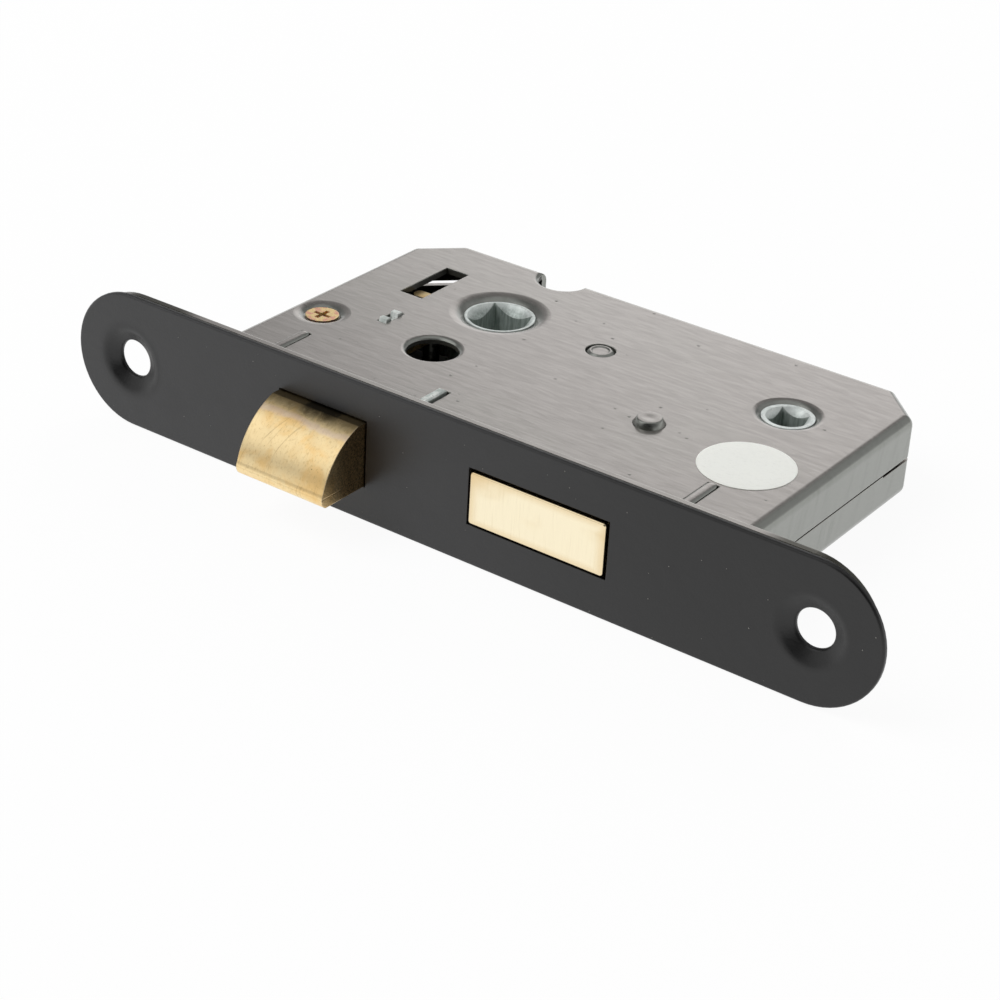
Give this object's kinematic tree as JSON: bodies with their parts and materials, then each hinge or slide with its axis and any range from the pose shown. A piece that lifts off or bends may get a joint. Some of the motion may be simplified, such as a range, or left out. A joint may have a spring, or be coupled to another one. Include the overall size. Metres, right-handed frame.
{
  "type": "bathroom mortice lock",
  "caption": "Mortice lock for a bathroom door: sprung bevelled latch on a square lever spindle, dead bolt on a smaller spindle, flat steel case and round-ended forend.",
  "frame": {"origin": "middle of the forend's front face, midway between the two fixing holes", "axes": "+X along the forend from the latch end to the bathroom end, +Y from the front face into the case, +Z across the case along both spindles"},
  "size_m": [0.155, 0.0756, 0.024],
  "materials": {
    "forend_black": "matt black powder coat",
    "case_enamel": "glossy warm grey enamel",
    "bright_zinc": "bright zinc plate",
    "cast_zinc": "bluish cast zinc",
    "yellow_zinc": "yellow passivated zinc",
    "brass": "satin brass",
    "spring_steel": "drawn spring wire",
    "label_paper": "off-white paper"
  },
  "bodies": {
    "case": {"outer_forend": "forend_black", "inner_forend": "case_enamel", "case_cover": "case_enamel", "case_body": "case_enamel", "post_rear": "case_enamel", "post_front": "case_enamel", "screw_post": "bright_zinc", "cover_screw": "yellow_zinc", "divider_bracket": "bright_zinc", "spring_bracket": "bright_zinc", "latch_spring": "spring_steel", "return_spring": "spring_steel", "follower_stop_pin": "bright_zinc", "spring_pins": "bright_zinc", "bolt_spring": "spring_steel", "inspection_label": "label_paper"},
    "latch": {"latch_head": "brass", "latch_tail": "brass", "latch_rivets": "brass"},
    "lever_drive": {"lever_follower": "cast_zinc"},
    "dead_bolt": {"bolt_head": "brass", "bolt_tail": "bright_zinc", "bolt_rivets": "brass"},
    "thumb_drive": {"bathroom_follower": "cast_zinc"}
  },
  "joints": [
    {"name": "lever_turn", "type": "hinge", "parent": "case", "child": "lever_drive", "pos_m": [-0.022, 0.045, 0], "axis": [0, 0, -1], "range_deg": [0, 40.5], "stiffness_Nm_per_rad": 0.12, "springref_deg": -17.19, "deforming": ["return_spring"]},
    {"name": "latch_slide", "type": "slide", "parent": "case", "child": "latch", "axis": [0, 1, 0], "range_m": [0, 0.011], "stiffness_N_per_m": 250, "springref_m": -0.004, "deforming": ["latch_spring"]},
    {"name": "thumb_turn", "type": "hinge", "parent": "case", "child": "thumb_drive", "pos_m": [0.035, 0.045, 0], "axis": [0, 0, 1], "range_deg": [0, 90]},
    {"name": "bolt_slide", "type": "slide", "parent": "case", "child": "dead_bolt", "axis": [0, -1, 0], "range_m": [0, 0.012]}
  ],
  "couplings": [
    {"joint": "lever_turn", "follows": "latch_slide", "rad_per_m": 64.25},
    {"joint": "thumb_turn", "follows": "bolt_slide", "rad_per_m": 130.89}
  ]
}
